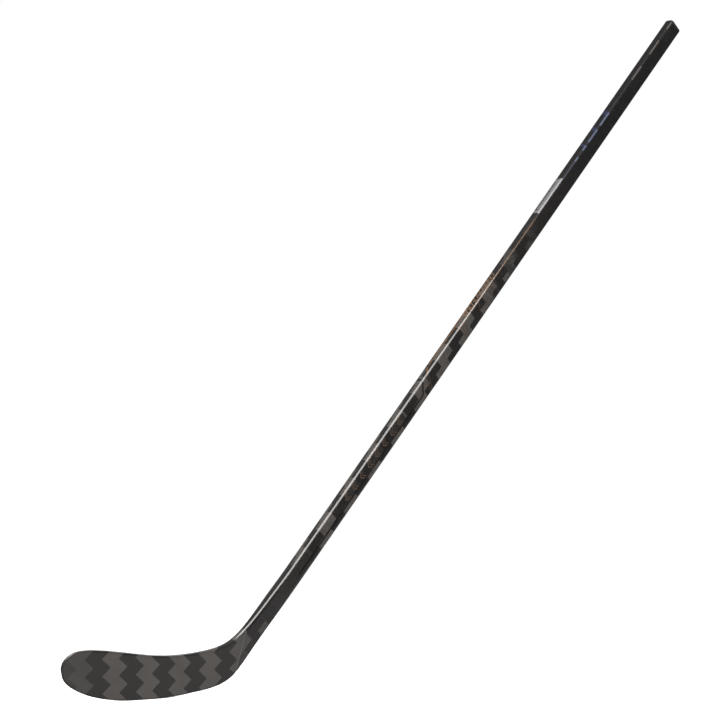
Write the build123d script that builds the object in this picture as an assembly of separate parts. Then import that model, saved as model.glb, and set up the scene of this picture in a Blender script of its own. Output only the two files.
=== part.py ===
from build123d import *
import os
from math import cos, radians, sin, tan

# A left-handed, one-piece composite ice hockey stick in its playing stance.
# Origin: the middle of the blade's contact with the ice. +X runs along the ice from toe to heel,
# +Y is the way the forehand face looks, and +Z is up. All sizes are in millimetres.
# "Along the shaft" is measured from the heel, where the shaft's back edge line meets the ice.
# "Along the spine" is measured from the toe's tip, down the middle of the blade and up the shaft.

# ---- driving dimensions ----
LIE = 46.4                  # shaft's angle above the ice, in degrees
HEEL_X = 137.0              # where the line of the shaft's back edge meets the ice
STICK_LENGTH = 1550.0       # along the shaft, heel to butt
SHAFT_WIDTH = 29.0          # across the wide face
SHAFT_DEPTH = 19.0          # across the narrow face, above the taper
SHAFT_CORNER = 5.5          # corner radius of the shaft's section
CORNER_SHARE = 0.42         # corner radius as a share of the depth, where the stick is thinner
TAPER_TOP = 236.0           # along the shaft, where its depth stops growing
JOINT_AT = 120.0            # along the shaft, where the tube meets the blade's hosel
WRAP_LOW, WRAP_HIGH = 104.0, 150.0    # along the shaft, the carbon wrapped round that joint

TOE_X = -151.0              # the toe's tip
BLADE_MID_Z = 38.0          # height of the blade's centre line
SPINE_RADIUS = 150.0        # radius that joins the blade's centre line to the shaft's
BLADE_THIN = 5.2            # blade thickness at the toe
BLADE_THICK = 6.8           # blade thickness where the hosel's swelling has died away
SWELL_START = 215.0         # along the spine, where the blade starts to thicken into the hosel
CURVE_START = 60.0          # X where the blade starts to curve towards the forehand side
CURVE_RADIUS = 1484.0       # radius of that curve, seen from above

PLY = 0.3                   # outer woven ply
GLUE = 0.04                 # resin line between bonded pieces
TUBE_WALL = 1.4             # shaft tube's laminate, under the outer ply
SKIN = 0.8                  # blade's structural skin, under the outer ply
RIM_WIDTH = 4.0             # solid rim round the blade's foam
RIB_HEIGHT = 4.0            # stiffening rib between the two foam cores
HEEL_BLOCK_X = 96.0         # X where the heel block starts
TOE_PAD_X = -101.0          # X where the toe damper ends
TENON_LENGTH = 70.0         # how far the blade's tenon reaches into the shaft
TENON_SOCKET = 26.0         # and how far down into the heel block
TENON_WALL = 1.6
BOND = 0.3                  # adhesive gap round the tenon
FOAM_DAM_LENGTH = 40.0      # foam that closes the shaft above the tenon

PLUG_HEAD = 6.0             # butt plug's visible cap
PLUG_SHOULDER = 2.4         # rounding of the cap's end
PLUG_STEM = 45.0            # the part of the plug inside the shaft
PLUG_WALL = 1.8
PLUG_PLAY = 0.5             # gap between the plug's stem and the bore
PLUG_RIB = 0.42             # how far the stem's ribs stand out into that gap
PLUG_RIB_WIDTH = 1.6
PLUG_RIBS = (4.0, 17.0, 36.0)   # below the cap, each rib's upper side
PLUG_LEAD_IN = 1.2          # chamfer round the stem's lower end
PLUG_FLOOR = 3.0            # below the cap, where the stem's hollow ends
GLUE_BAND = (22.0, 32.0)    # below the cap, the band of hot-melt glue round the stem
LABEL_LOW, LABEL_HIGH = 1048.0, 1135.0   # along the shaft, the foil label's ends
LABEL_WRAP = 2.2            # how far its sides reach round the corners, across the shaft
LABEL_THICKNESS = 0.12
LABEL_GAP = 0.02            # adhesive under the label
SECTION_SPACING = 14.0      # between sections, away from the toe
TOE_FLAT = 0.3              # how far inside the toe's tip the first section sits
TOE_STATIONS = [0.8, 2.2, 4.5, 8, 13, 20, 29, 40, 52]   # along the spine, the next few
TOE_END = -260.0            # along the shaft, beyond the toe

# ---- worked out from them ----
LIE_RAD = radians(LIE)
TUBE_INSET = PLY + GLUE
BORE_INSET = TUBE_INSET + TUBE_WALL
CORE_INSET = TUBE_INSET + SKIN + GLUE
TUBE_TOP = STICK_LENGTH - PLUG_HEAD
SMALLEST_CORNER = 0.3
ALONG_SHAFT = Vector(cos(LIE_RAD), 0, sin(LIE_RAD))     # heel to butt
TO_FRONT = Vector(-sin(LIE_RAD), 0, cos(LIE_RAD))       # back edge to the toe-side edge
HEEL = Vector(HEEL_X, 0, 0)

# The spine: straight through the blade, an arc of SPINE_RADIUS, then straight up the shaft.
AXIS_AT_MID = (BLADE_MID_Z - SHAFT_WIDTH / 2 * cos(LIE_RAD)) / sin(LIE_RAD)
MID_CROSSING_X = HEEL_X + AXIS_AT_MID * cos(LIE_RAD) - SHAFT_WIDTH / 2 * sin(LIE_RAD)
BEND_TANGENT = SPINE_RADIUS * tan(LIE_RAD / 2)
BEND_START_X = MID_CROSSING_X - BEND_TANGENT
BLADE_RUN = BEND_START_X - TOE_X
BEND_RUN = SPINE_RADIUS * LIE_RAD
BEND_END_SHAFT = AXIS_AT_MID + BEND_TANGENT
HOSEL_START = BLADE_RUN + BEND_RUN / 2   # along the spine, where the deeper layers start


def spine_from_shaft(along_shaft):
    """Turns a distance along the shaft into one along the spine."""
    return BLADE_RUN + BEND_RUN + along_shaft - BEND_END_SHAFT


SWELL_END = spine_from_shaft(TAPER_TOP)


def spine_point(run):
    """The spine's point (x, z) and its slope in radians, at a distance from the toe."""
    if run <= BLADE_RUN:
        return TOE_X + run, BLADE_MID_Z, 0.0
    if run <= BLADE_RUN + BEND_RUN:
        turn = (run - BLADE_RUN) / SPINE_RADIUS
        x = BEND_START_X + SPINE_RADIUS * sin(turn)
        return x, BLADE_MID_Z + SPINE_RADIUS * (1 - cos(turn)), turn
    along = run - BLADE_RUN - BEND_RUN + BEND_END_SHAFT
    point = HEEL + ALONG_SHAFT * along + TO_FRONT * (SHAFT_WIDTH / 2)
    return point.X, point.Z, LIE_RAD


def ease(value):
    """0 to 1 with no slope at either end."""
    value = min(1.0, max(0.0, value))
    return value * value * (3 - 2 * value)


def depth_at(run):
    """The stick's thickness along Y, at a distance along the spine."""
    blade = BLADE_THIN + (BLADE_THICK - BLADE_THIN) * min(1.0, run / SWELL_START)
    return blade + (SHAFT_DEPTH - blade) * ease((run - SWELL_START) / (SWELL_END - SWELL_START))


def blade_offset(x):
    """How far the blade's curve has carried it towards the forehand side."""
    return max(0.0, CURVE_START - x) ** 2 / (2 * CURVE_RADIUS)


# ---- outline of the blade and hosel, seen from the side ----
def side_outline():
    flat_toe, flat_heel = Vector(-21, 0, 0), Vector(15, 0, 0)
    rocker, heel_low = Vector(84, 0, 5.6), Vector(132, 0, 13.6)
    heel_round, heel_back = Vector(159, 0, 25.4), HEEL + ALONG_SHAFT * 62 - TO_FRONT * 0.8
    heel_high = HEEL + ALONG_SHAFT * 130
    shaft_back = HEEL + ALONG_SHAFT * (TAPER_TOP + 30)
    shaft_front = shaft_back + TO_FRONT * SHAFT_WIDTH
    throat_high = HEEL + ALONG_SHAFT * TAPER_TOP + TO_FRONT * SHAFT_WIDTH
    throat_upper = HEEL + ALONG_SHAFT * 180 + TO_FRONT * 30.6
    throat_mid = HEEL + ALONG_SHAFT * 141 + TO_FRONT * 31.8
    throat_round, throat_low = Vector(188.5, 0, 103.4), Vector(152, 0, 79.4)
    shoulder = Vector(112, 0, 69.6)
    dip, rise, crest = Vector(41, 0, 65.2), Vector(-45, 0, 73.9), Vector(-108, 0, 79.7)
    toe_high, toe_tip = Vector(-138.7, 0, 72.5), Vector(TOE_X, 0, 54)
    toe_side, toe_low = Vector(-147.6, 0, 37), Vector(-130, 0, 21.5)
    toe_foot, toe_ball = Vector(-100, 0, 9.3), Vector(-70, 0, 3.3)
    sole_slope = Vector(1, 0, -0.14)
    sole_corner = toe_ball + sole_slope * (toe_ball.Z / 0.14)
    to_toe, to_heel, down = Vector(-1, 0, 0), Vector(1, 0, 0), Vector(0, 0, -1)
    even = [1, 1]   # keeps a spline's ends from bulging
    edges = [
        Line(flat_toe, flat_heel),
        Spline(flat_heel, rocker, heel_low, heel_round, heel_back, heel_high,
               tangents=[to_heel, ALONG_SHAFT], tangent_scalars=even),
        Line(heel_high, shaft_back),
        Line(shaft_back, shaft_front),
        Line(shaft_front, throat_high),
        Spline(throat_high, throat_upper, throat_mid, throat_round, throat_low, shoulder, dip,
               tangents=[-ALONG_SHAFT, to_toe], tangent_scalars=even),
        Spline(dip, rise, crest, tangents=[to_toe, to_toe], tangent_scalars=even),
        Spline(crest, toe_high, toe_tip, tangents=[to_toe, down], tangent_scalars=even),
        Spline(toe_tip, toe_side, toe_low, toe_foot, toe_ball,
               tangents=[down, sole_slope.normalized()], tangent_scalars=even),
        Bezier(toe_ball, sole_corner, flat_toe),
    ]
    return [line.edge() for line in edges]


OUTLINE_EDGES = side_outline()
OUTLINE_STEPS = 80                   # points taken along each edge of the outline
OUTLINE_SHAFT_END = TAPER_TOP - 0.5  # along the shaft; above this the stick is a plain tube


def inset_outline(inset):
    """Points (x, z) round the outline, drawn in by inset."""
    points = []
    for edge in OUTLINE_EDGES:
        for step in range(OUTLINE_STEPS):
            position = edge @ (step / OUTLINE_STEPS)
            heading = edge % (step / OUTLINE_STEPS)
            points.append((position.X - inset * heading.Z, position.Z + inset * heading.X))
    return points


def rung_ends(points, middle, rung):
    """Where the outline crosses the rung line near middle, as distances along it."""
    across = Vector(rung.Z, 0, -rung.X)
    sides = [Vector(x - middle.X, 0, z - middle.Z) for x, z in points]
    crossings = []
    for one, other in zip(sides, sides[1:] + sides[:1]):
        here, there = one.dot(across), other.dot(across)
        if (here < 0) != (there < 0):
            share = here / (here - there)
            crossings.append(one.dot(rung) * (1 - share) + other.dot(rung) * share)
    nearby = [crossing for crossing in crossings if abs(crossing) < 90]
    return min(nearby), max(nearby)


def section(run, points, inset, depth_inset):
    """The stick's rounded section across the spine, drawn in by inset."""
    x, z, slope = spine_point(run)
    rung = Vector(sin(slope), 0, -cos(slope))
    middle = Vector(x, 0, z)
    width = SHAFT_WIDTH - 2 * inset
    if run < spine_from_shaft(OUTLINE_SHAFT_END):
        near, far = rung_ends(points, middle, rung)
        middle = middle + rung * ((near + far) / 2)
        width = far - near
    centre = Vector(middle.X, blade_offset(middle.X), middle.Z)
    depth = depth_at(run) - 2 * depth_inset
    corner = min(SHAFT_CORNER, CORNER_SHARE * depth_at(run)) - inset
    corner = min(max(corner, SMALLEST_CORNER), depth / 2 - 0.1, width / 2 - 0.1)
    plane = Plane(origin=centre, x_dir=rung, z_dir=(cos(slope), 0, sin(slope)))
    return plane * RectangleRounded(width, depth, corner)


def stations(start):
    """Distances along the spine to put sections at, closest together round the toe."""
    kept = [start]
    for mark in TOE_STATIONS + [66 + SECTION_SPACING * step for step in range(60)]:
        if mark - kept[-1] > 0.5 and SWELL_END - mark > 2:
            kept.append(mark)
    return kept + [SWELL_END]


def stick_solid(inset, depth_inset=None, start=None):
    """The stick below its cap as one solid, with its surface drawn in by inset."""
    depth_inset = inset if depth_inset is None else depth_inset
    start = inset + TOE_FLAT if start is None else start
    points = inset_outline(inset)
    cuts = [section(run, points, inset, depth_inset) for run in stations(start)]
    return loft(cuts) + extrude(cuts[-1], amount=TUBE_TOP - TAPER_TOP, dir=ALONG_SHAFT)


def between(low, high):
    """The space between two planes across the shaft."""
    middle = HEEL + ALONG_SHAFT * ((low + high) / 2)
    return Plane(origin=middle, z_dir=ALONG_SHAFT) * Box(700, 700, high - low)


def shaft_section(along, inset):
    """The plain shaft's section, above the taper."""
    centre = HEEL + ALONG_SHAFT * along + TO_FRONT * (SHAFT_WIDTH / 2)
    plane = Plane(origin=centre, x_dir=-TO_FRONT, z_dir=ALONG_SHAFT)
    corner = max(SHAFT_CORNER - inset, SMALLEST_CORNER)
    return plane * RectangleRounded(SHAFT_WIDTH - 2 * inset, SHAFT_DEPTH - 2 * inset, corner)


def shaft_block(low, high, inset):
    """A solid length of the plain shaft, above the taper."""
    return extrude(shaft_section(low, inset), amount=high - low, dir=ALONG_SHAFT)


def forehand_space():
    """Everything on the forehand side of the blade's curved middle surface."""
    beyond_toe, beyond_heel, far_side = TOE_X - 20, 320, 60
    plan = [
        Bezier((beyond_toe, blade_offset(beyond_toe)), ((beyond_toe + CURVE_START) / 2, 0), (CURVE_START, 0)),
        Line((CURVE_START, 0), (beyond_heel, 0)),
        Line((beyond_heel, 0), (beyond_heel, far_side)),
        Line((beyond_heel, far_side), (beyond_toe, far_side)),
        Line((beyond_toe, far_side), (beyond_toe, blade_offset(beyond_toe))),
    ]
    face = make_face(Wire([line.edge() for line in plan]))
    return Pos(0, 0, -20) * extrude(face, amount=260, dir=(0, 0, 1))


def blade_band(x_low, x_high, z_low, z_high):
    """A block across the blade's whole thickness, to pick out one region of its inside."""
    return Pos((x_low + x_high) / 2, 5, (z_low + z_high) / 2) * Box(x_high - x_low, 80, z_high - z_low)


# ---- the stick's surface, drawn in layer by layer ----
surface = stick_solid(0)
under_ply = stick_solid(PLY)
skin_outside = stick_solid(TUBE_INSET)
skin_inside = stick_solid(TUBE_INSET + SKIN)
core_outside = stick_solid(CORE_INSET)
bore = stick_solid(BORE_INSET, start=HOSEL_START)
forehand = forehand_space()

# ---- outer woven ply ----
ply = surface - under_ply
blade_ply = ply & between(TOE_END, WRAP_LOW)
blade_ply_forehand = blade_ply & forehand
blade_ply_backhand = blade_ply - forehand
joint_wrap = ply & between(WRAP_LOW, WRAP_HIGH)
shaft_outer_ply = ply & between(WRAP_HIGH, TUBE_TOP)

# ---- blade's structure ----
blade_skin = (skin_outside - skin_inside) & between(TOE_END, JOINT_AT - GLUE)
blade_skin_forehand = blade_skin & forehand
blade_skin_backhand = blade_skin - forehand

inside = core_outside & between(TOE_END, JOINT_AT - GLUE)
blade_area = blade_band(TOE_X, HEEL_BLOCK_X - GLUE, 0, 100)
blade_rim = (inside - stick_solid(CORE_INSET + RIM_WIDTH, 0)) & blade_area
cavity = inside & stick_solid(CORE_INSET + RIM_WIDTH + GLUE, 0)
rib_low, rib_high = BLADE_MID_Z - RIB_HEIGHT / 2, BLADE_MID_Z + RIB_HEIGHT / 2
toe_insert = cavity & blade_band(TOE_X, TOE_PAD_X - GLUE, 0, 100)
spine_rib = cavity & blade_band(TOE_PAD_X, HEEL_BLOCK_X - GLUE, rib_low, rib_high)
foam_core_lower = cavity & blade_band(TOE_PAD_X, HEEL_BLOCK_X - GLUE, 0, rib_low - GLUE)
foam_core_upper = cavity & blade_band(TOE_PAD_X, HEEL_BLOCK_X - GLUE, rib_high + GLUE, 100)

# ---- joint between blade and shaft ----
tenon_bottom, tenon_top = JOINT_AT - TENON_SOCKET, JOINT_AT + TENON_LENGTH
tenon_outside = stick_solid(BORE_INSET + BOND, start=HOSEL_START)
tenon_inside = stick_solid(BORE_INSET + BOND + TENON_WALL, start=HOSEL_START)
foam_outside = stick_solid(BORE_INSET + BOND + TENON_WALL + GLUE, start=HOSEL_START)
adhesive_inside = stick_solid(BORE_INSET + BOND - GLUE, start=HOSEL_START)
dam_outside = stick_solid(BORE_INSET + GLUE, start=HOSEL_START)
hosel_tenon = (tenon_outside - tenon_inside) & between(tenon_bottom, tenon_top)
tenon_foam_core = foam_outside & between(tenon_bottom, tenon_top)
tenon_adhesive = (dam_outside - adhesive_inside) & between(JOINT_AT + 1, tenon_top - 1)
socket = adhesive_inside & between(tenon_bottom - GLUE, tenon_top)
heel_block = (inside & blade_band(HEEL_BLOCK_X, 320, 0, 200)) - socket

# ---- shaft ----
shaft_tube = (skin_outside - bore) & between(JOINT_AT, TUBE_TOP)
foam_dam = dam_outside & between(tenon_top + 1, tenon_top + 1 + FOAM_DAM_LENGTH)
label_middle = (LABEL_LOW + LABEL_HIGH) / 2
label_plane = Plane(
    origin=HEEL + ALONG_SHAFT * label_middle + TO_FRONT * SHAFT_WIDTH,
    x_dir=ALONG_SHAFT,
    z_dir=TO_FRONT,
)
label_sleeve = shaft_block(LABEL_LOW, LABEL_HIGH, -LABEL_GAP - LABEL_THICKNESS)
label_sleeve -= shaft_block(LABEL_LOW - 1, LABEL_HIGH + 1, -LABEL_GAP)
foil_label = label_sleeve & (label_plane * Box(LABEL_HIGH - LABEL_LOW + 2, 40, 2 * LABEL_WRAP))

# ---- butt plug ----
cap = shaft_block(TUBE_TOP + GLUE, STICK_LENGTH, 0)
cap = fillet(cap.faces().sort_by(Axis((0, 0, 0), ALONG_SHAFT))[-1].edges(), PLUG_SHOULDER)
stem_inset = BORE_INSET + PLUG_PLAY
stem = shaft_block(TUBE_TOP - PLUG_STEM, TUBE_TOP + 1, stem_inset)
stem = chamfer(stem.faces().sort_by(Axis((0, 0, 0), ALONG_SHAFT))[0].edges(), PLUG_LEAD_IN)
for rib_at in PLUG_RIBS:
    stem += shaft_block(TUBE_TOP - rib_at - PLUG_RIB_WIDTH, TUBE_TOP - rib_at, stem_inset - PLUG_RIB)
hollow = shaft_block(TUBE_TOP - PLUG_STEM - 1, TUBE_TOP - PLUG_FLOOR, stem_inset + PLUG_WALL)
butt_plug = cap + stem - hollow
glue_low, glue_high = TUBE_TOP - GLUE_BAND[1], TUBE_TOP - GLUE_BAND[0]
plug_glue_band = shaft_block(glue_low, glue_high, stem_inset - PLUG_RIB)
plug_glue_band -= shaft_block(glue_low - 1, glue_high + 1, stem_inset)

# ---- one STEP file per piece ----
PIECES = {
    "shaft_tube": shaft_tube,
    "shaft_outer_ply": shaft_outer_ply,
    "foam_dam": foam_dam,
    "foil_label": foil_label,
    "butt_plug": butt_plug,
    "plug_glue_band": plug_glue_band,
    "joint_wrap": joint_wrap,
    "hosel_tenon": hosel_tenon,
    "tenon_foam_core": tenon_foam_core,
    "tenon_adhesive": tenon_adhesive,
    "heel_block": heel_block,
    "blade_ply_forehand": blade_ply_forehand,
    "blade_ply_backhand": blade_ply_backhand,
    "blade_skin_forehand": blade_skin_forehand,
    "blade_skin_backhand": blade_skin_backhand,
    "blade_rim": blade_rim,
    "foam_core_upper": foam_core_upper,
    "foam_core_lower": foam_core_lower,
    "spine_rib": spine_rib,
    "toe_insert": toe_insert,
}
os.makedirs("parts", exist_ok=True)
for name, piece in PIECES.items():
    export_step(piece, f"parts/{name}.step")
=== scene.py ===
from math import ceil, cos, pi, radians, sin, tan

import bmesh
import bpy
from mathutils import Matrix, Quaternion, Vector
from mathutils.bvhtree import BVHTree


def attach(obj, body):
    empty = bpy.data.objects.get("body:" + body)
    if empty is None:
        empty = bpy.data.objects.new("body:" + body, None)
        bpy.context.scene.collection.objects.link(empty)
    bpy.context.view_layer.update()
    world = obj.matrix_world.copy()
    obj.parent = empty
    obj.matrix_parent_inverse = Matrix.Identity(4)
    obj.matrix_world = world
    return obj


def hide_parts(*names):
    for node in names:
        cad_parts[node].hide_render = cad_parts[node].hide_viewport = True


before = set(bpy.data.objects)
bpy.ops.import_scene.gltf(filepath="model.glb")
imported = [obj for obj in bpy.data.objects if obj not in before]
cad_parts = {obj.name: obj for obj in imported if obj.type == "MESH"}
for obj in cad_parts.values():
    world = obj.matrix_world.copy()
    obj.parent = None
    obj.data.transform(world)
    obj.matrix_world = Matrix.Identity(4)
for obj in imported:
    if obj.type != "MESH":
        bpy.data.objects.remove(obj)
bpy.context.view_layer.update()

# Looks for a left-handed composite ice hockey stick. Lengths here are in millimetres, in the part's own
# frame: +X from toe to heel, +Y the forehand side, +Z up, and the origin where the blade meets the ice.
# "s" runs along the shaft from the heel, and "b" across it from the back edge to the toe-side edge.

# ---- sizes shared by the pieces ----
LIE = radians(46.4)                 # the shaft's angle above the ice
HEEL = Vector((137.0, 0, 0))        # where the line of the shaft's back edge meets the ice
ALONG = Vector((cos(LIE), 0, sin(LIE)))
ACROSS = Vector((-sin(LIE), 0, cos(LIE)))
WIDTH, DEPTH, CORNER = 29.0, 19.0, 5.5
CORNER_SHARE = 0.42                 # of the depth, where the stick is too thin for the full corner
TOE_X, MID_Z = -151.0, 38.0         # the toe's tip, and the height of the blade's middle line
SPINE_RADIUS = 150.0                # the middle line's bend from the blade into the shaft
CURVE_START, CURVE_RADIUS = 60.0, 1484.0
WRAP_LOW, WRAP_HIGH, TUBE_TOP, TOP = 104.0, 150.0, 1544.0, 1550.0   # along s
PLY = 0.3                           # thickness of the outer skins
FACE_STEPS, CORNER_STEPS = 26, 8    # points across a flat face, and round one corner
BEYOND = 95.0                       # from the middle line, further out than either edge
BLADE_SPACING, SHAFT_SPACING = 3.0, 6.0
TOE_SPREAD, TOE_STATIONS = 0.3, 7   # the toe's stations spread out from the tip by squares
LAST_RAY = 0.02                     # how far short of the tube's end the last rays are cast

AXIS_AT_MID = (MID_Z - WIDTH / 2 * cos(LIE)) / sin(LIE)
BEND_START = HEEL.x + AXIS_AT_MID * cos(LIE) - WIDTH / 2 * sin(LIE) - SPINE_RADIUS * tan(LIE / 2)
BLADE_RUN = BEND_START - TOE_X
BEND_RUN = SPINE_RADIUS * LIE
BEND_END = AXIS_AT_MID + SPINE_RADIUS * tan(LIE / 2)


# ---- geometry: rings round the stick, taken off the CAD surface ----
def cad_surface(*names):
    """A search tree over the triangles of some CAD nodes."""
    points, faces = [], []
    for name in names:
        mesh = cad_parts[name].data
        first = len(points)
        points += [vertex.co * 1000 for vertex in mesh.vertices]
        faces += [[first + i for i in polygon.vertices] for polygon in mesh.polygons]
    return BVHTree.FromPolygons(points, faces)


OUTSIDE = cad_surface("blade_ply_forehand", "blade_ply_backhand", "joint_wrap", "shaft_outer_ply")


def blade_offset(x):
    """How far the blade's curve carries it towards the forehand side."""
    return max(0.0, CURVE_START - x) ** 2 / (2 * CURVE_RADIUS)


def spine(run):
    """The middle line's point and slope, at a distance from the toe."""
    if run <= BLADE_RUN:
        return Vector((TOE_X + run, 0, MID_Z)), 0.0
    if run <= BLADE_RUN + BEND_RUN:
        turn = (run - BLADE_RUN) / SPINE_RADIUS
        x = BEND_START + SPINE_RADIUS * sin(turn)
        return Vector((x, 0, MID_Z + SPINE_RADIUS * (1 - cos(turn)))), turn
    along = run - BLADE_RUN - BEND_RUN + BEND_END
    return HEEL + ALONG * along + ACROSS * (WIDTH / 2), LIE


def run_of(along):
    """The distance down the middle line of a place on the shaft."""
    return BLADE_RUN + BEND_RUN + along - BEND_END


def measure(run):
    """The stick's two edges and its thickness at one place, read off the CAD surface."""
    middle, slope = spine(min(run, run_of(TUBE_TOP) - LAST_RAY))
    rung = Vector((sin(slope), 0, -cos(slope)))
    lift = Vector((0, blade_offset(middle.x), 0))
    back = OUTSIDE.ray_cast(middle + lift + rung * BEYOND, -rung)[0]
    front = OUTSIDE.ray_cast(middle + lift - rung * BEYOND, rung)[0]
    centre = (back + front) / 2
    high = OUTSIDE.ray_cast(centre + Vector((0, BEYOND, 0)), Vector((0, -1, 0)))[0]
    low = OUTSIDE.ray_cast(centre - Vector((0, BEYOND, 0)), Vector((0, 1, 0)))[0]
    return Vector((back.x, 0, back.z)), Vector((front.x, 0, front.z)), high.y - low.y


def stations(low, high, spacing):
    """Even steps from low to high, no more than spacing apart."""
    count = ceil((high - low) / spacing)
    return [low + (high - low) * step / count for step in range(count + 1)]


def inward(edge, index, towards):
    """The in-plane normal of a row of edge points, pointing into the blade."""
    ahead = edge[min(index + 1, len(edge) - 1)] - edge[max(index - 1, 0)]
    normal = Vector((-ahead.z, 0, ahead.x)).normalized()
    return normal if normal.dot(towards) > 0 else -normal


def half_ring(rung, side, inset=0.0):
    """Points round one half of the section, from the middle of the back edge to the front edge's."""
    back, front, back_in, front_in, depth = rung
    corner = min(CORNER, CORNER_SHARE * depth) - inset
    half = depth / 2 - inset
    flat = half - corner
    turns = [pi / 2 * step / CORNER_STEPS for step in range(CORNER_STEPS + 1)]
    profile = [(0.0, 0.0), (0.0, flat / 2)]
    profile += [(corner * (1 - cos(turn)), flat + corner * sin(turn)) for turn in turns]
    near = [(back + back_in * (inset + deep), out) for deep, out in profile]
    far = [(front + front_in * (inset + deep), out) for deep, out in reversed(profile)]
    start, end = near[-1][0], far[0][0]
    face = [(start.lerp(end, step / FACE_STEPS), half) for step in range(1, FACE_STEPS)]
    points = near + face + far
    return [Vector((p.x, blade_offset(p.x) + side * out, p.z)) for p, out in points]


def full_ring(rung, inset=0.0):
    """Points all the way round the section."""
    return half_ring(rung, -1, inset) + half_ring(rung, 1, inset)[-2:0:-1]


def rungs(runs, toe=False):
    """Everything half_ring needs at each place along the stick, with the toe's tip first if asked."""
    measured = [measure(run) for run in runs]
    if toe:
        tip = (measured[0][0] + measured[0][1]) / 2
        tip.x = TOE_X
        measured.insert(0, (tip, tip, measured[0][2]))
    backs, fronts = [m[0] for m in measured], [m[1] for m in measured]
    found = []
    for index, (back, front, depth) in enumerate(measured):
        across = front - back
        if across.length < 0.01:
            back_in = front_in = Vector((1, 0, 0))
        else:
            back_in, front_in = inward(backs, index, across), inward(fronts, index, -across)
        found.append((back, front, back_in, front_in, depth))
    return found


def mesh_object(name, points, faces, sharp=40):
    """A smooth-shaded object from points in millimetres."""
    mesh = bpy.data.meshes.new(name)
    mesh.from_pydata([tuple(p * 0.001) for p in points], [], faces)
    work = bmesh.new()
    work.from_mesh(mesh)
    bmesh.ops.remove_doubles(work, verts=work.verts, dist=2e-7)
    bmesh.ops.dissolve_degenerate(work, edges=work.edges, dist=1e-7)
    bmesh.ops.recalc_face_normals(work, faces=work.faces)
    work.to_mesh(mesh)
    work.free()
    mesh.shade_smooth()
    mesh.set_sharp_from_angle(angle=radians(sharp))
    made = bpy.data.objects.new(name, mesh)
    bpy.context.scene.collection.objects.link(made)
    return made


def strip(first, second, count, closed):
    """Quads between two rows of points that start at these indices."""
    last = count if closed else count - 1
    return [(first + i, first + (i + 1) % count, second + (i + 1) % count, second + i) for i in range(last)]


def shell(name, outer, inner, closed):
    """A thin skin between two sets of rings. If they are open, it starts at the toe's tip, without a rim."""
    count, rows = len(outer[0]), len(outer)
    points = [p for ring in outer + inner for p in ring]
    faces = []
    for row in range(rows - 1):
        faces += strip(row * count, (row + 1) * count, count, closed)
        faces += strip((rows + row + 1) * count, (rows + row) * count, count, closed)
        if not closed:
            for column in (0, count - 1):
                low, high = row * count + column, (row + 1) * count + column
                faces.append((low, high, high + rows * count, low + rows * count))
    ends = [0, rows - 1] if closed else [rows - 1]
    for row in ends:
        faces += strip(row * count, (rows + row) * count, count, closed)
    return mesh_object(name, points, faces)


def solid_of_rings(name, rings, sharp):
    """A closed solid through rings, with a flat face at each end; edges over sharp degrees stay crisp."""
    count = len(rings[0])
    points = [p for ring in rings for p in ring]
    faces = [tuple(range(count)), tuple(range((len(rings) - 1) * count, len(rings) * count))]
    for row in range(len(rings) - 1):
        faces += strip(row * count, (row + 1) * count, count, True)
    return mesh_object(name, points, faces, sharp)


def shaft_ring(along, inset):
    """The plain shaft's section, drawn in by inset, as a ring of points."""
    half_width, half_depth = WIDTH / 2 - inset, DEPTH / 2 - inset
    corner = max(CORNER - inset, 0.4)
    centre = HEEL + ALONG * along + ACROSS * (WIDTH / 2)
    ring = []
    for quarter in range(4):
        side_b = 1 if quarter in (0, 3) else -1
        side_y = 1 if quarter in (0, 1) else -1
        for step in range(CORNER_STEPS + 1):
            angle = pi / 2 * (quarter + step / CORNER_STEPS)
            b = side_b * (half_width - corner) + corner * cos(angle)
            y = side_y * (half_depth - corner) + corner * sin(angle)
            ring.append(centre + ACROSS * b + Vector((0, y, 0)))
    return ring


# ---- the visible pieces ----
toe_runs = [TOE_SPREAD * step * step for step in range(1, TOE_STATIONS + 1)]
blade_runs = toe_runs + stations(toe_runs[-1] + BLADE_SPACING, run_of(WRAP_LOW), BLADE_SPACING)
blade_rungs = rungs(blade_runs, toe=True)


def blade_half(name, side):
    """One of the blade's two outer plies."""
    outer = [half_ring(rung, side) for rung in blade_rungs]
    inner = [half_ring(rung, side, PLY) for rung in blade_rungs]
    return shell(name, outer, inner, closed=False)


def sleeve(name, low, high, spacing):
    """An outer ply that goes all the way round the stick, from low to high along the shaft."""
    places = rungs(stations(run_of(low), run_of(high), spacing))
    outer = [full_ring(rung) for rung in places]
    inner = [full_ring(rung, PLY) for rung in places]
    return shell(name, outer, inner, closed=True)


blade_backhand = blade_half("blade_backhand", -1)
blade_forehand = blade_half("blade_forehand", 1)
heel_wrap = sleeve("heel_wrap", WRAP_LOW, WRAP_HIGH, BLADE_SPACING)
shaft_skin = sleeve("shaft_skin", WRAP_HIGH, TUBE_TOP, SHAFT_SPACING)

# ---- butt plug: cap with rounded shoulders, and a hollow ribbed stem ----
# A spot of its outline is a place along the shaft and how far in from the shaft's outside the ring lies.
STEM, STEM_WALL, STEM_FOOT, STEM_SEAT, HOLLOW_END = 2.24, 1.8, 1499.0, 1543.6, 1541.0
RIB_TOPS, RIB_HALF, RIB_HEIGHT = (1508.0, 1527.0, 1540.0), 0.8, 0.38
GROOVES, GROOVE_HALF, GROOVE_FLOOR, GROOVE_DEPTH = (1545.6, 1546.6), 0.3, 0.12, 0.2
CAP_SKIN, CAP_FOOT, CAP_SHOULDER = 0.02, TUBE_TOP + 0.06, 2.4
ROUND_STEPS = 8


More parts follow.
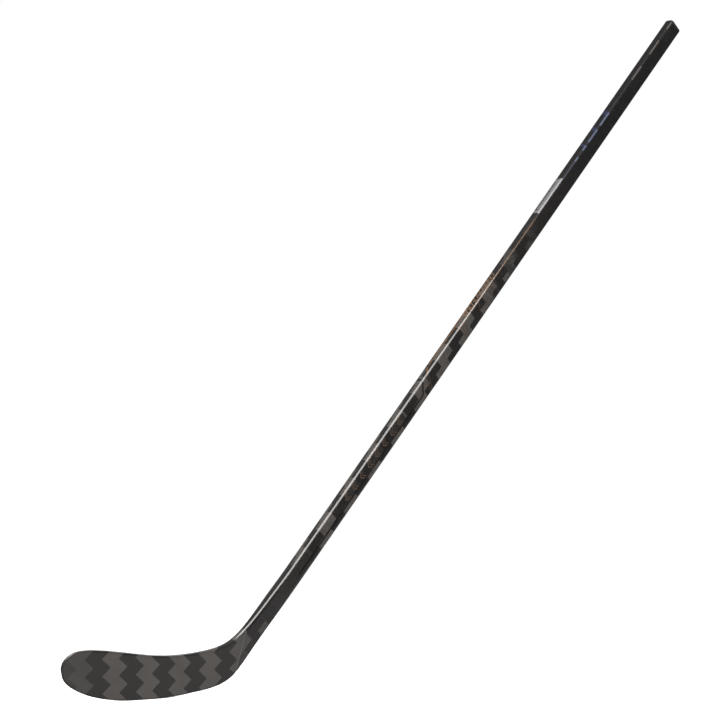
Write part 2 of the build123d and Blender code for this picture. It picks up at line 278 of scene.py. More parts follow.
def plug_outline():
    """The plug's outline, from inside the hollow stem, round its foot and up over the cap."""
    bore = STEM + STEM_WALL
    spots = [(HOLLOW_END, bore + 0.8), (HOLLOW_END - 0.8, bore), (STEM_FOOT + 1.0, bore - 0.1)]
    spots += [(STEM_FOOT, bore - 0.5), (STEM_FOOT, STEM + 0.9), (STEM_FOOT + 0.3, STEM + 0.4)]
    spots.append((STEM_FOOT + 1.0, STEM))
    for rib_top in RIB_TOPS:
        for step in range(ROUND_STEPS + 1):
            turn = pi * step / ROUND_STEPS
            spots.append((rib_top - RIB_HALF - RIB_HALF * cos(turn), STEM - RIB_HEIGHT * sin(turn)))
    spots += [(STEM_SEAT, STEM), (CAP_FOOT, STEM - 0.3), (CAP_FOOT, 0.35)]
    spots += [(TUBE_TOP + 0.2, 0.1), (TUBE_TOP + 0.5, CAP_SKIN)]
    for groove in GROOVES:
        spots += [(groove - GROOVE_HALF, CAP_SKIN), (groove - GROOVE_FLOOR, GROOVE_DEPTH)]
        spots += [(groove + GROOVE_FLOOR, GROOVE_DEPTH), (groove + GROOVE_HALF, CAP_SKIN)]
    for step in range(ROUND_STEPS + 1):
        turn = pi / 2 * step / ROUND_STEPS
        rise, draw = CAP_SHOULDER * (1 - sin(turn)), CAP_SHOULDER * (1 - cos(turn))
        spots.append((TOP - rise, draw + CAP_SKIN))
    return spots + [(TOP, 4.3), (TOP - 0.08, 4.55), (TOP - 0.35, 4.7), (TOP - 0.4, 5.0)]


butt_cap = solid_of_rings("butt_cap", [shaft_ring(*spot) for spot in plug_outline()], sharp=50)

# ---- hot-melt glue: a lumpy collar on the stem ----
GLUE_LOW, GLUE_LENGTH, GLUE_STEPS = 1512.2, 9.6, 14
GLUE_INSET, GLUE_BULGE, GLUE_DIP = STEM - 0.02, 0.34, 0.22


def glue_ring(step):
    """One uneven ring of the collar, which bulges in the middle of its length."""
    along = GLUE_LOW + GLUE_LENGTH * step / GLUE_STEPS
    bulge = sin(pi * step / GLUE_STEPS) ** 0.4
    centre = HEEL + ALONG * along + ACROSS * (WIDTH / 2)
    lumpy = []
    for index, point in enumerate(shaft_ring(along, GLUE_INSET - GLUE_BULGE * bulge)):
        ripple = 0.5 + 0.5 * sin(index * 1.7 + step * 0.9) * sin(index * 0.53 - step * 1.3)
        away = (point - centre).normalized()
        lumpy.append(point - away * GLUE_DIP * ripple * bulge + ALONG * 0.5 * sin(index * 0.9))
    return lumpy


glue_rings = [glue_ring(step) for step in range(GLUE_STEPS + 1)]
inner_low, inner_high = (shaft_ring(along, STEM + 0.03) for along in (GLUE_LOW + 0.2, GLUE_LOW + 9.4))
glue_collar = solid_of_rings("glue_collar", [inner_low] + glue_rings + [inner_high], sharp=60)

for piece, body, node, slot in (
    (blade_backhand, "stick", "blade_ply_backhand", "carbon_outer"),
    (blade_forehand, "stick", "blade_ply_forehand", "carbon_outer"),
    (heel_wrap, "stick", "joint_wrap", "carbon_wrap"),
    (shaft_skin, "stick", "shaft_outer_ply", "carbon_outer"),
    (butt_cap, "butt_plug", "butt_plug", "plug"),
    (glue_collar, "butt_plug", "plug_glue_band", "hot_melt"),
):
    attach(piece, body)
    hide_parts(node)


# ---- materials: every finish is worked out from a point's place on the stick ----
class Field:
    """A number at each point of a surface, built up from shader nodes."""

    def __init__(self, tree, socket):
        self.tree, self.socket = tree, socket

    def math(self, operation, *others):
        """A field worked out from this one and others, which may be plain numbers."""
        node = self.tree.nodes.new("ShaderNodeMath")
        node.operation = operation
        for slot, item in zip(node.inputs, (self,) + others):
            plug(self.tree, slot, item)
        return Field(self.tree, node.outputs[0])

    def __add__(self, other):
        return self.math("ADD", other)

    def __radd__(self, other):
        return self.math("ADD", other)

    def __sub__(self, other):
        return self.math("SUBTRACT", other)

    def __rsub__(self, other):
        return (self * -1.0) + other

    def __mul__(self, other):
        return self.math("MULTIPLY", other)

    def __truediv__(self, other):
        return self.math("DIVIDE", other)

    def fract(self):
        return self.math("FRACT")

    def size(self):
        return self.math("ABSOLUTE")

    def wave(self):
        return self.math("SINE")

    def most(self, other):
        return self.math("MAXIMUM", other)

    def least(self, other):
        return self.math("MINIMUM", other)

    def above(self, edge, soft=0.15):
        """0 below edge and 1 above it."""
        ramp = (self - edge) / soft + 0.5
        return ramp.most(0.0).least(1.0)

    def within(self, low, high, soft=0.15):
        """1 between low and high and 0 outside them."""
        return self.above(low, soft) * (1 - self.above(high, soft))

    def in_any(self, spans, soft):
        """1 inside any of these spans, which don't overlap."""
        total = None
        for low, high in spans:
            part = self.within(low, high, soft)
            total = part if total is None else total + part
        return total


def plug(tree, slot, item):
    """Feeds a socket from a field, or sets its value."""
    if isinstance(item, Field):
        tree.links.new(item.socket, slot)
    else:
        slot.default_value = item


class Finish:
    """One material, with the stick's coordinates ready as fields, in millimetres."""

    def __init__(self, name):
        self.material = bpy.data.materials.new(name)
        self.material.use_nodes = True
        self.tree = self.material.node_tree
        self.surface = self.tree.nodes["Principled BSDF"]
        place = self.tree.nodes.new("ShaderNodeTexCoord").outputs["Object"]
        parts = self.tree.nodes.new("ShaderNodeSeparateXYZ")
        self.tree.links.new(place, parts.inputs[0])
        self.place = place
        self.x, self.y, self.z = (Field(self.tree, socket) * 1000.0 for socket in parts.outputs)
        heelward = self.x - HEEL.x
        self.s = heelward * cos(LIE) + self.z * sin(LIE) + PATTERN_SHIFT
        self.b = self.z * cos(LIE) - heelward * sin(LIE)
        self.u = self.b + self.y

    def noise(self, size, detail, stretch=(1, 1, 1), seed=0.0):
        """Smooth noise from 0 to 1, with features about size millimetres across."""
        mapping = self.tree.nodes.new("ShaderNodeMapping")
        mapping.inputs["Scale"].default_value = stretch
        mapping.inputs["Location"].default_value = (seed, seed * 0.7, seed * 1.3)
        mapping.inputs["Rotation"].default_value = (0, LIE, 0)
        self.tree.links.new(self.place, mapping.inputs["Vector"])
        texture = self.tree.nodes.new("ShaderNodeTexNoise")
        texture.inputs["Scale"].default_value = 1000.0 / size
        texture.inputs["Detail"].default_value = detail
        self.tree.links.new(mapping.outputs[0], texture.inputs["Vector"])
        return Field(self.tree, texture.outputs[0])

    def mix(self, share, first, second):
        """first where share is 0 and second where it is 1; each is a colour or a colour socket."""
        node = self.tree.nodes.new("ShaderNodeMix")
        node.data_type = "RGBA"
        plug(self.tree, node.inputs[0], share)
        for slot, item in zip((node.inputs[6], node.inputs[7]), (first, second)):
            if isinstance(item, tuple):
                slot.default_value = (*item, 1.0)
            else:
                self.tree.links.new(item, slot)
        return node.outputs[2]

    def bump(self, height, distance, strength):
        """A normal from a height field; distance is the height of 1, in millimetres."""
        node = self.tree.nodes.new("ShaderNodeBump")
        node.inputs["Strength"].default_value = strength
        node.inputs["Distance"].default_value = distance * 0.001
        self.tree.links.new(height.socket, node.inputs["Height"])
        return node.outputs[0]

    def weave(self, tow):
        """A twill of crossed tows, from 0 to 1."""
        one = ((self.s + self.u) * (pi / tow)).wave()
        other = ((self.s - self.u) * (pi / tow)).wave()
        step = ((self.s * 2.0 + self.u * 0.5) * (pi / tow)).wave()
        return (one * other * 0.5 + step * 0.22) * 0.7 + 0.5

    def set(self, colour=None, roughness=None, normal=None, coat_normal=None, **fixed):
        """Feeds the surface shader and hands back the material."""
        if colour is not None:
            self.tree.links.new(colour, self.surface.inputs["Base Color"])
        if roughness is not None:
            self.tree.links.new(roughness.socket, self.surface.inputs["Roughness"])
        if normal is not None:
            self.tree.links.new(normal, self.surface.inputs["Normal"])
        if coat_normal is not None:
            self.tree.links.new(coat_normal, self.surface.inputs["Coat Normal"])
        for name, value in fixed.items():
            title = name.replace("_", " ").title().replace("Ior", "IOR")
            plug(self.tree, self.surface.inputs[title], value)
        return self.material


# ---- the printed pattern: its places are distances along s, b or across the narrow face, y ----
PATTERN_SHIFT = 1.8                     # how far up the shaft the whole pattern sits
ZIG_BASE, ZIG_HEIGHT, ZIG_REACH = 13.0, 25.9, 15.2      # the blade's zigzag: up Z, and how far it swings
BAND_FROM, BAND_PITCH, BAND_SHARE = -113.6, 59.2, 0.505
TOE_TINT_END, TOE_FADE_AT, TOE_FADE_RUN = -142.0, -106.0, 16.0
SEAM_SLANT, SEAM_ALONG, SEAM_BASE = 2.15, 44.0, 2.0     # the oblique seam, where the heel's wrap begins
HEEL_ROW_EDGE, HEEL_STEP_FROM, HEEL_STEP_PITCH, HEEL_ROW_SHIFT = 13.0, 81.0, 78.0, 21.0
ROW_EDGE, STEP_FROM, STEP_PITCH, ROW_SHIFT = 13.3, 564.5, 75.6, 19.0
STEPS_RISE, STEPS_FADE, STEPS_BREAK_UP = (285.0, 30.0), (985.0, 150.0), (900.0, 120.0)  # middle, length
# the last pair is where painted shade darkens the shaft towards the butt: its middle and length
SLEEVE_END, SLEEVE_PALE, THROAT_DARK, BUTT_SHADE = 271.0, (200.0, 60.0), (170.0, 50.0), (1180.0, 300.0)
FRONT_FACE, FRONT_LEAD = 26.8, 40.0     # b where the narrow face begins; its steps start earlier
WRAP_SEAM, WRAP_SEAM_HALF = 141.0, 0.6
RULE, RULE_RUN, RULE_MIDDLE = (9.7, 12.9), (238.0, 634.0), 11.3
STROKES, STROKE_HALF, STROKE_SLANT = (648.0, 653.0, 768.0, 776.0, 822.0, 864.0, 878.0), 0.9, 0.55
CHEVRON_RUN, CHEVRON_PITCH, CHEVRON_ROW, CHEVRON_MIDDLE = (388.0, 580.0), 24.0, (12.4, 25.5), 19.0
CHEVRON_BARS, CHEVRON_SLANT = ((3.0, 6.2), (9.0, 11.0)), 0.9
RIBBON, RIBBON_HALF, HATCH_SLANT, HATCH_PITCH = (801.0, 903.0), 6.5, 0.75, 9.0
FAR_LINE, TURN_IN, PIN_RUN, THREAD_RUN = (686.0, 815.0), 680.0, (770.0, 1035.0), (1110.0, 1178.0)
EDGE_BAND, PIN_BAND, THREAD_BAND = (16.3, 20.2), (17.6, 18.8), (17.5, 18.5)     # these three are b + y
PALE_DASHES = ((1393.0, 1428.0), (1461.0, 1497.0), (1528.0, 1560.0))
BLUE_DASHES = ((1180.0, 1192.0), (1209.0, 1221.0), (1230.0, 1262.0), (1273.0, 1306.0))
BLUE_TABS = ((1218.0, 1224.5), (1258.0, 1268.0), (1300.0, 1310.0))
FOIL_INSIDE, FOIL_BARS = (1049.6, 1133.4), (1056.0, 1127.0)

CARBON_DARK = (0.0190, 0.0180, 0.0176)
CARBON_GREY = (0.052, 0.050, 0.050)
# painted shade: the darker carbon that the shaft turns to towards the butt
CARBON_BUTT_SHADE = (0.0152, 0.0145, 0.0154)
COPPER = (0.31, 0.158, 0.060)
BROWN = (0.098, 0.069, 0.052)
BONE = (0.105, 0.094, 0.084)
BLUE_PALE = (0.105, 0.135, 0.215)
BLUE_DEEP = (0.034, 0.036, 0.082)


def lacquer(finish, relief):
    """The clear coat over a patterned ply: fine scuffs, smudges, and the weave just felt beneath."""
    smudge = finish.noise(45, 3.0, seed=3.1)
    scuff = finish.noise(1.2, 2.0, stretch=(0.05, 1, 1), seed=8.0).above(0.69, 0.06)
    coat_rough = smudge * 0.05 + scuff * 0.10 + 0.045
    orange_peel = finish.noise(3.0, 2.0, seed=5.0)
    plug(finish.tree, finish.surface.inputs["Coat Roughness"], coat_rough)
    finish.set(
        normal=finish.bump(relief, 0.05, 0.5), coat_normal=finish.bump(orange_peel, 0.004, 0.35),
        coat_weight=1.0, coat_ior=1.5, specular_ior_level=0.18,
    )
    return 0.42 + smudge * 0.12


def heel_steps(f):
    """The heel's dark stepped blocks, and which of their two rows a point is in."""
    row = f.b.above(HEEL_ROW_EDGE, 0.3)
    along = (f.s - HEEL_STEP_FROM - row * HEEL_ROW_SHIFT) / HEEL_STEP_PITCH
    return along.fract().within(0.0, 0.5, 0.01), row


def blade_finish():
    """Zigzag bands of dark and light woven ply across the blade."""
    f = Finish("woven_blade")
    fold = 1 - (((f.z - ZIG_BASE) / ZIG_HEIGHT).fract() * 2.0 - 1.0).size()
    q = f.x - fold * ZIG_REACH
    band = ((q - BAND_FROM) / BAND_PITCH).fract().within(0.0, BAND_SHARE, 0.012)
    dark = band * q.above(BAND_FROM - 0.5, 0.4)
    beyond = (f.b - SEAM_BASE) * SEAM_SLANT + SEAM_ALONG - f.s      # how far below the seam a point lies
    wrapped = 1 - beyond.above(0.0, 0.4)
    steps, row = heel_steps(f)
    steps = steps.most((1 - row) * 0.55)
    faint = (1 - q.above(TOE_TINT_END, 0.8)) * 0.5
    dark = (dark + faint).least(1.0) * (1 - wrapped) + steps * wrapped
    toe_fade = 1 - q.above(TOE_FADE_AT, TOE_FADE_RUN)
    weave = f.weave(2.1)
    tint = f.noise(30, 4.0, seed=1.0)
    light = f.mix(weave, (0.081, 0.0755, 0.072), (0.118, 0.110, 0.1045))
    light = f.mix((tint - 0.4).most(0.0) * 0.8 + toe_fade * 0.62, light, CARBON_GREY)
    black = f.mix(weave, (0.0185, 0.0179, 0.0175), (0.0320, 0.0309, 0.0302))
    black = f.mix((tint - 0.4).most(0.0) * 0.6, black, (0.017, 0.0165, 0.0165))
    light = f.mix((1 - beyond.above(12.0, 30.0)) * 0.42, light, CARBON_GREY)
    colour = f.mix(dark, light, black)
    seam = beyond.within(-1.3, 1.0, 0.5)
    colour = f.mix(seam * 0.8, colour, (0.20, 0.19, 0.18))
    relief = weave * 0.6 + dark * 0.5 + seam * 1.2
    rough = lacquer(f, relief)
    return f.set(colour=colour, roughness=rough)


def wrap_finish():
    """Dark cloth wrapped round the joint, with stepped blocks that run on from the heel."""
    f = Finish("woven_wrap")
    steps, _ = heel_steps(f)
    dark = steps.most(f.s.above(WRAP_SEAM, 0.4))
    weave = f.weave(2.1)
    tint = f.noise(25, 4.0, seed=2.0)
    light = f.mix(weave, (0.056, 0.053, 0.051), (0.084, 0.079, 0.075))
    black = f.mix(weave, (0.0125, 0.0120, 0.0118), (0.0170, 0.0164, 0.0162))
    colour = f.mix(dark, light, black)
    colour = f.mix((tint - 0.45).most(0.0), colour, (0.030, 0.028, 0.027))
    edge = f.s.within(WRAP_SEAM - WRAP_SEAM_HALF, WRAP_SEAM + WRAP_SEAM_HALF, 0.5)
    colour = f.mix(edge * 0.35, colour, (0.07, 0.067, 0.064))
    rough = lacquer(f, weave * 0.6 + edge)
    return f.set(colour=colour, roughness=rough)


def shaft_blocks(f, front):
    """The shaft's ground: staircase blocks of light tows, the shades that it runs through, and painted shade
    towards the butt.
    """
    s, b, y = f.s, f.b, f.y
    row = b.above(ROW_EDGE, 0.3) + y.above(0.0, 0.3) * front + y.above(5.0, 0.3) * (1 - front) * 2.0
    blocks = ((s - STEP_FROM - row * ROW_SHIFT) / STEP_PITCH).fract().within(0.0, 0.5, 0.008)
    rise_at, rise_run = STEPS_RISE
    ramp = s.above(front * -FRONT_LEAD + rise_at, rise_run) * (1 - s.above(*STEPS_FADE))
    mottle = f.noise(11, 5.0, stretch=(0.6, 1, 1), seed=4.0)
    late = s.above(*STEPS_BREAK_UP)
    light_share = (1 - blocks) * ramp
    light_share = light_share * (1 - late * mottle.above(0.45, 0.25) * 0.8)
    weave = f.weave(3.4)
    fine = f.weave(1.1)
    light = f.mix(weave, (0.072, 0.067, 0.063), (0.140, 0.130, 0.119))
    dark = f.mix(fine, CARBON_DARK, (0.0260, 0.0250, 0.0243))
    sleeve = (1 - s.above(SLEEVE_END, 1.0)) * (1 - front)
    dark = f.mix(sleeve * s.above(*SLEEVE_PALE) * 0.8, dark, (0.036, 0.0342, 0.0332))
    dark = f.mix(1 - s.above(*THROAT_DARK), dark, (0.0150, 0.0144, 0.0142))
    colour = f.mix(light_share, dark, light)
    # painted shade: the whole shaft darkens towards the butt
    colour = f.mix(s.above(*BUTT_SHADE), colour, CARBON_BUTT_SHADE)
    colour = f.mix(mottle.above(0.56, 0.12) * 0.25, colour, (0.034, 0.032, 0.032))
    return colour, weave * 0.5 + light_share * 0.4 + fine * 0.1


def wide_face_print(f, colour, front):
    """A dark rule, brown strokes and rows of chevrons on the backhand face."""
    s, b = f.s, f.b
    wide = (1 - front) * (1 - f.y.above(0.0, 0.3))
    rule = b.within(*RULE, 0.4) * s.within(*RULE_RUN, 2.0)
    rise = (s - RULE_RUN[1] - (b - RULE_MIDDLE)).within(-2.2, 2.2, 0.5) * b.above(RULE_MIDDLE - 0.3, 0.4)
    colour = f.mix((rule + rise).least(1.0) * 0.92, colour, (0.010, 0.0098, 0.0098))

    spans = [(at - STROKE_HALF, at + STROKE_HALF) for at in STROKES]
    strokes = (s - b * STROKE_SLANT).in_any(spans, 0.4)
    colour = f.mix(strokes.least(1.0) * wide * 0.75, colour, BROWN)

    cell = ((s - CHEVRON_RUN[0]) / CHEVRON_PITCH).fract()
    chevron_at = cell * CHEVRON_PITCH - (b - CHEVRON_MIDDLE).size() * CHEVRON_SLANT
    chevron = chevron_at.in_any(CHEVRON_BARS, 0.4)
    panel = s.within(*CHEVRON_RUN, 1.0) * b.within(*CHEVRON_ROW, 0.4) * wide
    colour = f.mix(panel * 0.78, colour, CARBON_DARK)
    return f.mix(chevron.least(1.0) * panel, colour, BROWN)


def corner_band(f, corner, band, soft):
    """A line along the backhand's toe-side corner: b and y together rise steadily round it."""
    return (f.b + f.y).within(*band, soft) * corner


def narrow_face_print(f, colour, front, corner):
    """Copper hatching and pinstripes on the toe-side face."""
    s, y = f.s, f.y
    hatch = ((s - y * HATCH_SLANT) / HATCH_PITCH).fract().within(0.1, 0.34, 0.05)
    hatch = hatch + ((s + y * HATCH_SLANT) / (2 * HATCH_PITCH)).fract().within(0.3, 0.42, 0.04)
    ribbon = s.within(*RIBBON, 1.0) * y.within(-RIBBON_HALF, RIBBON_HALF, 0.4) * front
    colour = f.mix(hatch.least(1.0) * ribbon * 0.8, colour, COPPER)
    line_far = y.within(0.2, 2.2, 0.4) * s.within(*FAR_LINE, 1.0) * front
    turn_in = (s - TURN_IN - y * 1.5).within(-1.6, 1.6, 0.6) * y.within(-9.0, 1.0, 0.3) * front
    pin = corner_band(f, corner, PIN_BAND, 0.3) * s.within(*PIN_RUN, 20.0)
    return f.mix((line_far + turn_in + pin).least(1.0) * 0.95, colour, COPPER)


def butt_dashes(f, colour, front, corner):
    """Pale and blue dashes on the corner towards the butt, with blue tabs across the toe-side face."""
    s, y = f.s, f.y
    edge = corner_band(f, corner, EDGE_BAND, 0.4)
    thread = corner_band(f, corner, THREAD_BAND, 0.3) * s.within(*THREAD_RUN, 1.0)
    colour = f.mix(edge * s.in_any(PALE_DASHES, 0.5), colour, BONE)
    blue = edge * s.in_any(BLUE_DASHES, 0.5)
    colour = f.mix((blue + thread * 0.8).least(1.0), colour, BLUE_PALE)
    tabs = (s - y * 0.35).in_any(BLUE_TABS, 0.5) * front * y.within(-7.6, 9.0, 0.4)
    return f.mix(tabs, colour, BLUE_DEEP)


def shaft_finish():
    """Staircase blocks round the shaft, copper and pale pinstripes, and dashes towards the butt."""
    f = Finish("woven_shaft")
    front = f.b.above(FRONT_FACE, 0.4)
    corner = f.b.above(WIDTH - CORNER - 0.5, 0.2) * (1 - f.y.above(CORNER - DEPTH / 2 + 0.4, 0.2))
    colour, relief = shaft_blocks(f, front)
    colour = wide_face_print(f, colour, front)
    colour = narrow_face_print(f, colour, front, corner)
    colour = butt_dashes(f, colour, front, corner)
    rough = lacquer(f, relief)
    return f.set(colour=colour, roughness=rough)


def foil_finish():
    """Brushed foil with a plain ruled border and hatched bars, and painted shade along its backhand corner.
    """
    f = Finish("brushed_foil")
    brush = f.noise(0.5, 3.0, stretch=(0.03, 1, 1), seed=6.0)
    colour = f.mix(brush, (0.39, 0.395, 0.40), (0.62, 0.625, 0.63))
    bars = ((f.s + f.y * 0.6) / 5.6).fract().within(0.10, 0.62, 0.06)
    panel = f.s.within(*FOIL_BARS, 0.4) * f.y.within(0.2, 4.4, 0.25)
    border = 1 - f.s.within(*FOIL_INSIDE, 0.2) * f.y.within(-7.2, 7.2, 0.2)
    colour = f.mix((bars * panel).most(border * 0.5), colour, (0.045, 0.046, 0.050))
    # painted shade: the foil darkens along its backhand corner to hold down the glint there
    colour = f.mix((1 - f.y.above(-5.0, 2.5)) * 0.6, colour, (0.20, 0.202, 0.205))
    crease = f.noise(7, 3.0, seed=9.0)
    rough = brush * 0.18 + 0.44
    relief = f.bump(crease + brush * 0.3, 0.06, 0.5)
    return f.set(colour=colour, roughness=rough, normal=relief, metallic=0.85)


def plug_finish():
    """Moulded soft black plastic: fine grain, scuffed shoulders and a faint parting line."""
    f = Finish("moulded_plug")
    grain = f.noise(0.45, 4.0, seed=11.0)
    cloud = f.noise(9, 3.0, seed=12.0)
    scuff = f.noise(1.6, 3.0, stretch=(0.3, 1, 1), seed=13.0).above(0.63, 0.07) * f.s.above(1546.5, 2.0)
    colour = f.mix(cloud, (0.011, 0.011, 0.012), (0.024, 0.024, 0.025))
    colour = f.mix(scuff * 0.4, colour, (0.085, 0.085, 0.088))
    parting = f.y.within(-0.09, 0.09, 0.08)
    rough = 0.5 + grain * 0.2 + cloud * 0.1
    return f.set(colour=colour, roughness=rough, normal=f.bump(grain + parting * 1.5, 0.05, 0.6))


def glue_finish():
    """Cloudy hot-melt glue with small bubbles."""
    f = Finish("hot_melt_glue")
    cloud = f.noise(4, 4.0, seed=14.0)
    colour = f.mix(cloud, (0.62, 0.56, 0.38), (0.82, 0.78, 0.62))
    bubble = f.noise(0.8, 2.0, seed=15.0).above(0.66, 0.05)
    rough = 0.28 + cloud * 0.2
    return f.set(
        colour=f.mix(bubble * 0.5, colour, (0.92, 0.90, 0.80)), roughness=rough,
        normal=f.bump(cloud + bubble * 0.4, 0.12, 0.7), subsurface_weight=0.35, subsurface_scale=0.002,
    )


def laminate_finish():
    """Bare carbon laminate: tows and peel-ply texture, resin-rich patches."""
    f = Finish("bare_laminate")
    weave = f.weave(2.4)
    peel = (f.s * (2 * pi / 0.7)).wave() * (f.u * (2 * pi / 0.7)).wave()
    patch = f.noise(12, 4.0, seed=16.0)
    colour = f.mix(weave, (0.016, 0.016, 0.017), (0.050, 0.050, 0.052))
    colour = f.mix(patch.above(0.55, 0.2) * 0.5, colour, (0.030, 0.028, 0.024))
    rough = 0.42 + patch * 0.25
    return f.set(colour=colour, roughness=rough, normal=f.bump(weave + peel * 0.3, 0.08, 0.6))


def foam_finish():
    """Closed-cell foam, with small and large cells and a toasted tint in places."""
    f = Finish("closed_cell_foam")
    cells = f.tree.nodes.new("ShaderNodeTexVoronoi")
    cells.feature = "DISTANCE_TO_EDGE"
    cells.inputs["Scale"].default_value = 1400.0
    f.tree.links.new(f.place, cells.inputs["Vector"])
    wall = 1 - Field(f.tree, cells.outputs["Distance"]).above(0.12, 0.16)
    cloud = f.noise(15, 4.0, seed=17.0)
    colour = f.mix(wall, (0.52, 0.45, 0.33), (0.74, 0.68, 0.55))
    colour = f.mix(cloud.above(0.6, 0.2) * 0.4, colour, (0.48, 0.38, 0.24))
    rough = 0.75 + cloud * 0.15
    return f.set(colour=colour, roughness=rough, normal=f.bump(wall + cloud * 0.3, 0.25, 0.8))


def resin_finish():
    """Dark cured epoxy with short chopped fibre in it."""
    f = Finish("filled_epoxy")
    flow = f.noise(8, 4.0, seed=18.0)
    fibre = f.noise(0.9, 2.0, stretch=(0.15, 1, 1), seed=19.0).above(0.62, 0.05)
    colour = f.mix(flow, (0.050, 0.040, 0.028), (0.120, 0.095, 0.060))
    colour = f.mix(fibre * 0.7, colour, (0.020, 0.020, 0.021))
    rough = 0.30 + flow * 0.2 + fibre * 0.1
    return f.set(colour=colour, roughness=rough, normal=f.bump(flow + fibre * 0.5, 0.10, 0.6))


def damper_finish():
    """Moulded rubber pad with a fine diamond texture."""
    f = Finish("damping_pad")
    one = ((f.x + f.z) * (2 * pi / 3.0)).wave()
    other = ((f.x - f.z) * (2 * pi / 3.0)).wave()
    diamond = (one * other).above(0.0, 0.5)
    dust = f.noise(6, 4.0, seed=20.0)
    colour = f.mix(dust, (0.018, 0.018, 0.020), (0.045, 0.045, 0.048))
    rough = 0.6 + dust * 0.25
    return f.set(colour=colour, roughness=rough, normal=f.bump(diamond + dust * 0.3, 0.20, 0.7))


laminate, foam, resin = laminate_finish(), foam_finish(), resin_finish()
blade_look = blade_finish()
for piece, look in (
    (blade_backhand, blade_look),
    (blade_forehand, blade_look),
    (heel_wrap, wrap_finish()),
    (shaft_skin, shaft_finish()),
    (butt_cap, plug_finish()),
    (glue_collar, glue_finish()),
):
    piece.data.materials.append(look)

cad_looks = {
    "foil_label": (foil_finish(), "foil"),
    "toe_insert": (damper_finish(), "damper"),
    "heel_block": (resin, "resin"),
    "tenon_adhesive": (resin, "resin"),
    "blade_rim": (resin, "resin"),
}
for name in ("shaft_tube", "hosel_tenon", "blade_skin_forehand", "blade_skin_backhand", "spine_rib"):
    cad_looks[name] = (laminate, "carbon_laminate")
for name in ("foam_dam", "tenon_foam_core", "foam_core_upper", "foam_core_lower"):
    cad_looks[name] = (foam, "foam")
for name, (look, slot) in cad_looks.items():
    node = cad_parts[name]
    node.data.materials.clear()
    node.data.materials.append(look)

# ---- studio ----
ROOM_GLOW, ROOM_DARK, HORIZON = 0.05, 0.03, 0.9
LIGHT_TINT = (1.0, 0.975, 0.96)
FLOOR_CENTRE, FLOOR_DROP, FLOOR_RING, FLOOR_RINGS, FLOOR_SIDES = 500.0, -0.05, 1500.0, 4, 48
FLOOR_FADE = (3200.0, 2600.0)           # from the centre: the middle of the fade, and its length
FLOOR_GREY = (0.31, 0.31, 0.31)         # what the floor shows to everything but the camera
VIEW_PLACE, VIEW_FORWARD = Vector((-2.7504, -3.6555, 0.3176)), Vector((0.6568, 0.7529, 0.0419))
VIEW_ROLL = radians(-1.0)

scene = bpy.context.scene
scene.view_settings.view_transform = "Standard"


def studio_floor():
    """A pale floor that melts into the white room a few metres out, and throws little light back up."""
    points = [Vector((FLOOR_CENTRE, 0, FLOOR_DROP))]
    for ring in range(1, FLOOR_RINGS + 1):
        for step in range(FLOOR_SIDES):
            turn = 2 * pi * step / FLOOR_SIDES
            out = Vector((cos(turn), sin(turn), 0)) * FLOOR_RING * ring
            points.append(points[0] + out)
    faces = [(0, 1 + i, 1 + (i + 1) % FLOOR_SIDES) for i in range(FLOOR_SIDES)]
    for row in range(FLOOR_RINGS - 1):
        faces += strip(1 + row * FLOOR_SIDES, 1 + (row + 1) * FLOOR_SIDES, FLOOR_SIDES, True)
    floor = mesh_object("floor", points, faces, sharp=60)
    f = Finish("studio_floor")
    speck = f.noise(400, 2.0)
    seen = Field(f.tree, f.tree.nodes.new("ShaderNodeLightPath").outputs["Is Camera Ray"])
    pale = f.mix(speck, (0.87, 0.87, 0.87), (0.89, 0.89, 0.89))
    colour = f.mix(seen, FLOOR_GREY, pale)
    reach = ((f.x - FLOOR_CENTRE) * (f.x - FLOOR_CENTRE) + f.y * f.y).math("SQRT")
    f.set(
        colour=colour, roughness=0.8 + speck * 0.05, specular_ior_level=0.1,
        emission_color=(1, 1, 1, 1), emission_strength=seen * 0.75,
    )
    plug(f.tree, f.surface.inputs["Alpha"], 1 - reach.above(*FLOOR_FADE))
    floor.data.materials.append(f.material)


def soft_light(name, place, target, size, size_y, power, spin=0.0):
    """A large soft light, turned by spin degrees about the way it shines."""
    data = bpy.data.lights.new(name, "AREA")
    data.color = LIGHT_TINT
    data.shape, data.size, data.size_y, data.energy = "RECTANGLE", size, size_y, power
    lamp = bpy.data.objects.new(name, data)
    lamp.location = place
    aim = (Vector(target) - Vector(place)).to_track_quat("-Z", "Y")
    lamp.rotation_euler = (aim @ Quaternion((0, 0, 1), radians(spin))).to_euler()
    scene.collection.objects.link(lamp)


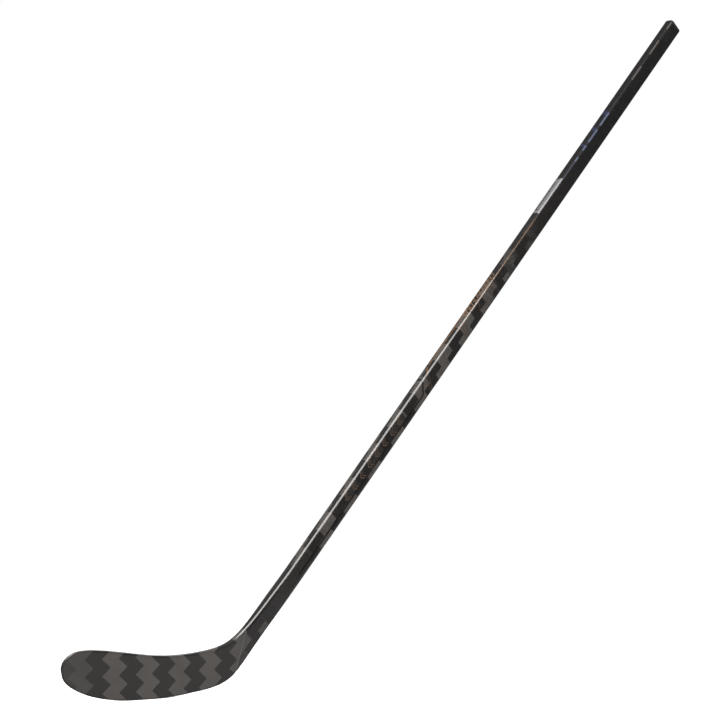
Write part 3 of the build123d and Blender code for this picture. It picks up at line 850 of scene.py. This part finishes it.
def white_room():
    """White to the camera; to the stick, a dim room with a bright horizon beyond it."""
    world = bpy.data.worlds.new("studio")
    scene.world = world
    world.use_nodes = True
    tree = world.node_tree
    background = tree.nodes["Background"]
    direction = tree.nodes.new("ShaderNodeTexCoord").outputs["Generated"]
    parts = tree.nodes.new("ShaderNodeSeparateXYZ")
    tree.links.new(direction, parts.inputs[0])
    across, ahead, height = (Field(tree, socket) for socket in parts.outputs)
    seen = Field(tree, tree.nodes.new("ShaderNodeLightPath").outputs["Is Camera Ray"])
    glow = (height * 0.65 + ahead * 0.75).most(0.0) * ROOM_GLOW + ROOM_DARK
    behind = (across * 0.66 + ahead * 0.75).above(0.72, 0.3)       # on the far side of the stick
    glow = glow + behind * (1 - height.above(0.42, 0.25)) * HORIZON
    plug(tree, background.inputs[1], seen * (1 - glow) + glow)
    background.inputs[0].default_value = (1, 1, 1, 1)


def photo_camera():
    """The photo's viewpoint: a long lens, low down on the backhand side."""
    data = bpy.data.cameras.new("camera")
    data.sensor_width, data.lens = 36.0, 149.9
    data.clip_end = 100.0
    data.shift_x, data.shift_y = -0.00125, 0.0005
    camera = bpy.data.objects.new("camera", data)
    forward = VIEW_FORWARD.normalized()
    level = forward.cross(Vector((0, 0, 1))).normalized()
    upright = level.cross(forward)
    right = level * cos(VIEW_ROLL) + upright * sin(VIEW_ROLL)
    up = upright * cos(VIEW_ROLL) - level * sin(VIEW_ROLL)
    turn = Matrix((right, up, -forward)).transposed().to_4x4()
    camera.matrix_world = Matrix.Translation(VIEW_PLACE) @ turn
    scene.collection.objects.link(camera)
    scene.camera = camera


studio_floor()
soft_light("overhead", (-0.99, -2.76, 4.3), (-0.99, -2.76, 0.0), 2.6, 5.0, 415, spin=22.6)
soft_light("back_panel", (-0.35, 3.0, 3.0), (0.15, 0.0, 0.4), 2.0, 2.4, 1.6)
soft_light("rim_panel", (2.8, 0.0, 2.9), (0.0, 0.0, 0.07), 2.0, 1.6, 62)
white_room()
photo_camera()
